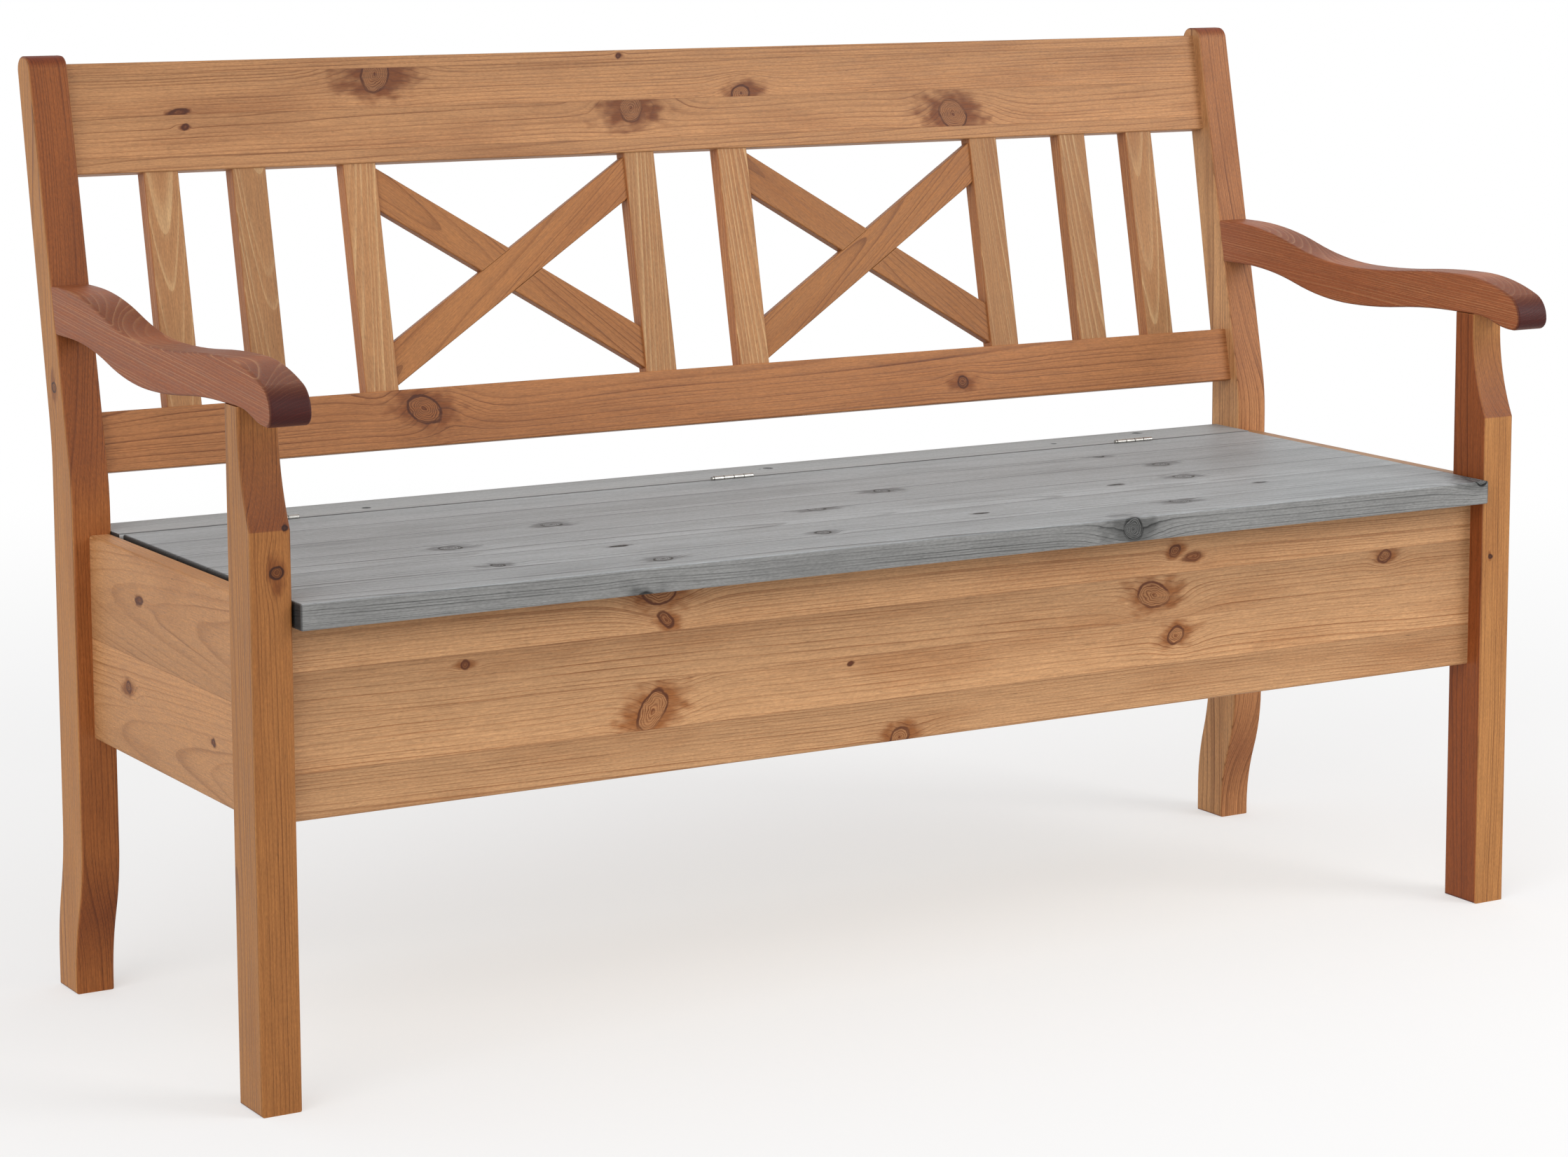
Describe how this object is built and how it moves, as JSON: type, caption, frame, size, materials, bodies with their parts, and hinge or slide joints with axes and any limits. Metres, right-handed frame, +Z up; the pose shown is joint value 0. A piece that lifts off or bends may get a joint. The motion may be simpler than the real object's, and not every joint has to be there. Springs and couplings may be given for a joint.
{
  "type": "storage bench",
  "caption": "Pine storage bench with a leaning slatted back and crosses, curved armrests and a hinged lid seat over a closed box.",
  "frame": {"origin": "on the floor under the middle of the bench's outline", "axes": "+X along the bench to the sitter's left, +Y from the seat's front edge to the backrest, +Z up"},
  "size_m": [1.4, 0.6008, 0.901],
  "materials": {
    "pine_frame": "honey stained knotty pine, satin lacquer",
    "pine_armrest": "red brown stained pine, satin lacquer",
    "pine_grey": "grey stained pine, matt lacquer",
    "pine_inside": "plain pine, unstained",
    "beech_dowel": "turned beech, untreated",
    "hinge_steel": "bright nickel-plated steel",
    "screw_steel": "zinc-plated steel"
  },
  "bodies": {
    "frame": {"armrest_dowels": "beech_dowel", "armrest_left": "pine_armrest", "armrest_right": "pine_armrest", "back_slat_1": "pine_frame", "back_slat_2": "pine_frame", "back_slat_3": "pine_frame", "back_slat_4": "pine_frame", "back_slat_5": "pine_frame", "back_slat_6": "pine_frame", "back_slat_7": "pine_frame", "back_slat_8": "pine_frame", "bottom_board": "pine_inside", "bottom_cleat_front": "pine_inside", "bottom_cleat_left": "pine_inside", "bottom_cleat_rear": "pine_inside", "bottom_cleat_right": "pine_inside", "cleat_screws": "screw_steel", "cross_left_falling": "pine_frame", "cross_left_rising": "pine_frame", "cross_right_falling": "pine_frame", "cross_right_rising": "pine_frame", "front_panel": "pine_frame", "front_post_left": "pine_frame", "front_post_right": "pine_frame", "hinge_leaf_fixed_left": "hinge_steel", "hinge_leaf_fixed_middle": "hinge_steel", "hinge_leaf_fixed_right": "hinge_steel", "hinge_pin_left": "hinge_steel", "hinge_pin_middle": "hinge_steel", "hinge_pin_right": "hinge_steel", "hinge_screws_fixed": "screw_steel", "lower_rail": "pine_frame", "panel_dowels": "beech_dowel", "rail_dowels": "beech_dowel", "rear_panel": "pine_frame", "rear_post_left": "pine_frame", "rear_post_right": "pine_frame", "seat_rear_strip": "pine_grey", "side_panel_left": "pine_frame", "side_panel_right": "pine_frame", "slat_dowels": "beech_dowel", "strip_dowels": "beech_dowel", "top_rail": "pine_frame"},
    "lid": {"batten_screws": "screw_steel", "hinge_leaf_lid_left": "hinge_steel", "hinge_leaf_lid_middle": "hinge_steel", "hinge_leaf_lid_right": "hinge_steel", "hinge_screws_lid": "screw_steel", "lid_batten_left": "pine_inside", "lid_batten_right": "pine_inside", "seat_lid": "pine_grey"}
  },
  "joints": [
    {"name": "lid_hinge", "type": "hinge", "parent": "frame", "child": "lid", "pos_m": [0, 0.16214, 0.4557], "axis": [-1, 0, 0], "range_deg": [0, 105]}
  ]
}
